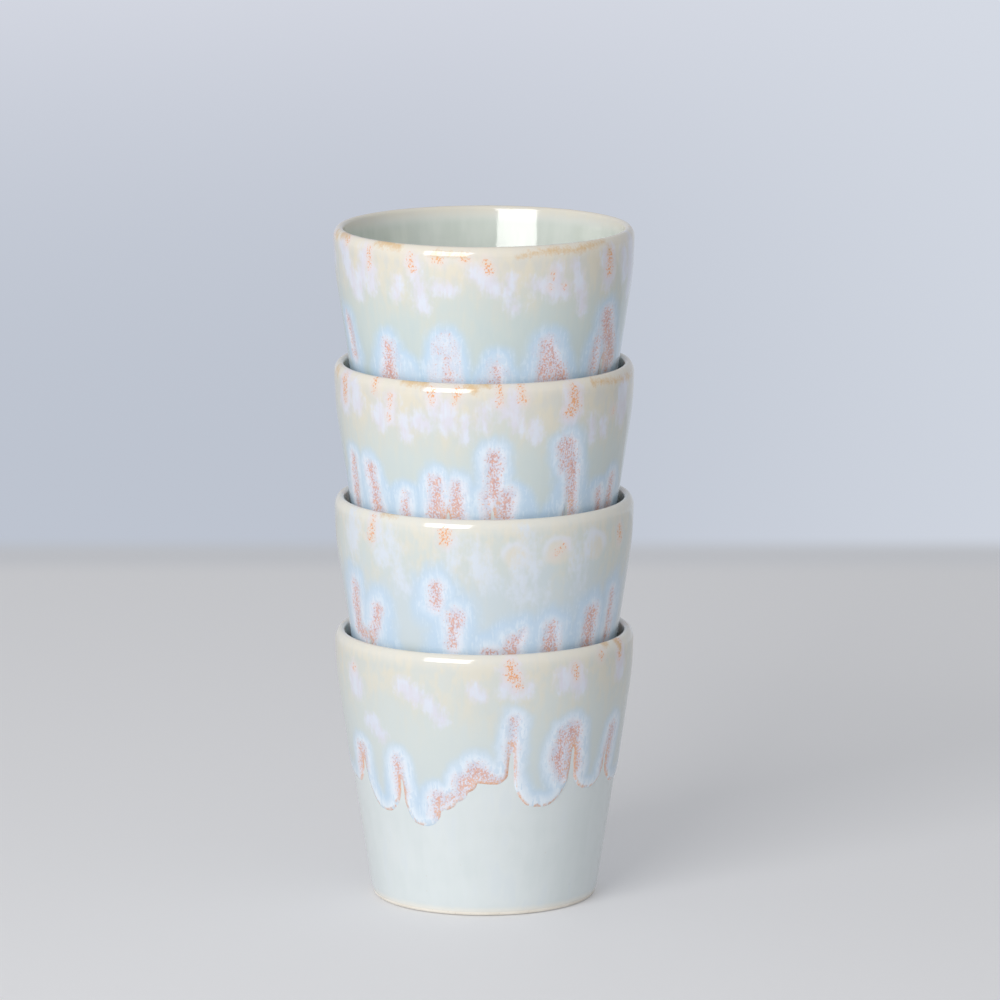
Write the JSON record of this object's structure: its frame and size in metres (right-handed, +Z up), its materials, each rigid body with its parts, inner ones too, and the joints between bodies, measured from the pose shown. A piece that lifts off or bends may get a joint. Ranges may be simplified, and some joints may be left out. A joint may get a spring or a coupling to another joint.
{
  "type": "stack of espresso cups",
  "caption": "Nested stack of small handleless stoneware espresso cups with flared walls, a pale celadon base glaze and a white and pink drip glaze; each cup lifts out of the one below.",
  "frame": {"origin": "centre of the bottom cup's foot ring, on the table", "axes": "+Z up along the common axis of the cups, -Y towards the viewer of the picture, +X to the viewer's right"},
  "size_m": [0.065, 0.065, 0.1471],
  "materials": {
    "stoneware": "bare fired stoneware, matt and slightly gritty, showing at the foot",
    "base_glaze": "glossy pale grey-green celadon",
    "drip_glaze": "glossy reactive glaze, cream at the rim, blue-white with pink specks along the drips"
  },
  "bodies": {
    "cup_1": {"cup_1_body": "stoneware", "cup_1_glaze": "base_glaze", "cup_1_drips": "drip_glaze"},
    "cup_2": {"cup_2_body": "stoneware", "cup_2_glaze": "base_glaze", "cup_2_drips": "drip_glaze"},
    "cup_3": {"cup_3_body": "stoneware", "cup_3_glaze": "base_glaze", "cup_3_drips": "drip_glaze"},
    "cup_4": {"cup_4_body": "stoneware", "cup_4_glaze": "base_glaze", "cup_4_drips": "drip_glaze"}
  },
  "joints": [
    {"name": "cup_2_lift", "type": "slide", "parent": "cup_1", "child": "cup_2", "axis": [0, 0, 1], "range_m": [0, 0.04]},
    {"name": "cup_3_lift", "type": "slide", "parent": "cup_2", "child": "cup_3", "axis": [0, 0, 1], "range_m": [0, 0.04]},
    {"name": "cup_4_lift", "type": "slide", "parent": "cup_3", "child": "cup_4", "axis": [0, 0, 1], "range_m": [0, 0.04]}
  ]
}
